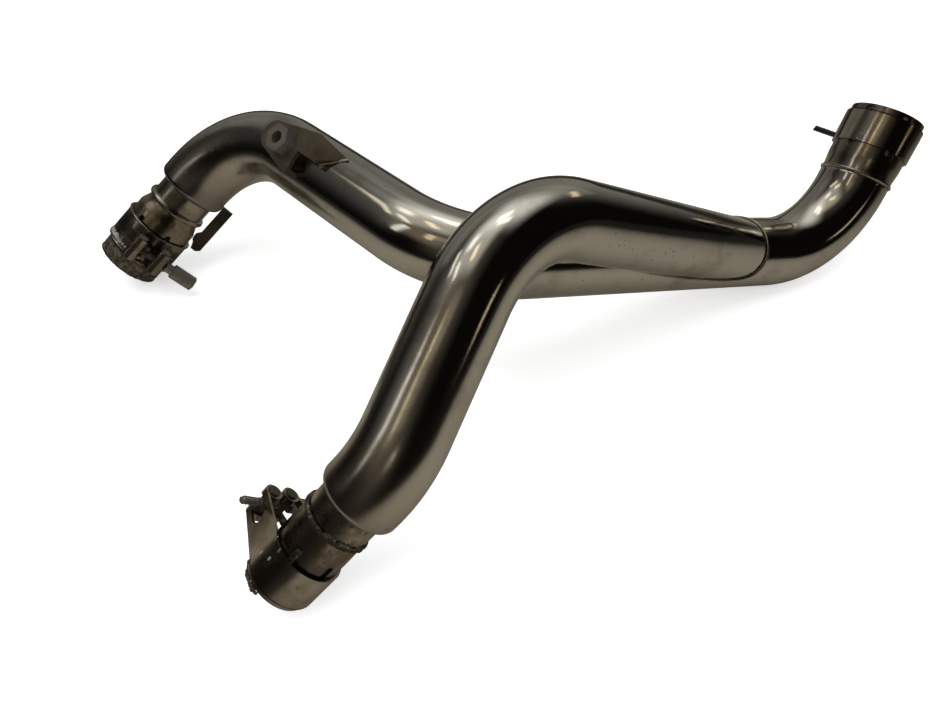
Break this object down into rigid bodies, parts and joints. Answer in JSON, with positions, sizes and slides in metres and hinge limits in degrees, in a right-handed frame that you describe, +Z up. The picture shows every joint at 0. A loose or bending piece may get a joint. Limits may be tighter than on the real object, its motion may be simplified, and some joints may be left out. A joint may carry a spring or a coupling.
{
  "type": "motorcycle exhaust header",
  "caption": "Two-into-one motorcycle exhaust header with double-walled bent pipes, slotted sockets, band clamps with studs, a mounting bracket and a side tab",
  "frame": {"origin": "Centre of the outlet mouth, on the axis of the outlet socket.", "axes": "+Z is up as the header lies on a flat surface. +X runs from the rear inlet towards the outlet, along the longest extent. +Y points away from the front inlet."},
  "size_m": [0.6383, 0.3869, 0.1649],
  "materials": {
    "skin_steel": "polished stainless, stained and heat tinted",
    "tube_steel": "dull stainless with soot",
    "weld_steel": "bare weld bead",
    "clamp_steel": "stamped stainless, worn and browned",
    "fixing_steel": "rusty plated steel",
    "bracket_steel": "heat-browned sheet steel",
    "gasket_graphite": "sooty graphite mesh, rough"
  },
  "bodies": {
    "root": {"rear_outer_pipe": "skin_steel", "front_outer_pipe": "skin_steel", "rear_inner_pipe": "tube_steel", "front_inner_pipe": "tube_steel", "junction_weld": "weld_steel", "rear_neck_weld": "weld_steel", "front_neck_weld": "weld_steel", "outlet_weld": "weld_steel", "rear_inlet_socket": "tube_steel", "front_inlet_socket": "tube_steel", "outlet_socket": "tube_steel", "rear_gasket_sleeve": "gasket_graphite", "front_gasket_sleeve": "gasket_graphite", "front_end_ring": "clamp_steel", "mounting_bracket": "bracket_steel", "bracket_nut": "fixing_steel", "bracket_weld": "weld_steel", "side_tab": "bracket_steel", "side_tab_welds": "weld_steel", "rear_clamp_band": "clamp_steel", "rear_clamp_barrels": "fixing_steel", "rear_clamp_stud": "fixing_steel", "rear_clamp_nut": "fixing_steel", "front_clamp_band": "clamp_steel", "front_clamp_barrels": "fixing_steel", "front_clamp_stud": "fixing_steel", "front_clamp_nut": "fixing_steel", "outlet_clamp_band": "clamp_steel", "outlet_clamp_barrels": "fixing_steel", "outlet_clamp_stud": "fixing_steel", "outlet_clamp_nut": "fixing_steel"}
  },
  "joints": []
}
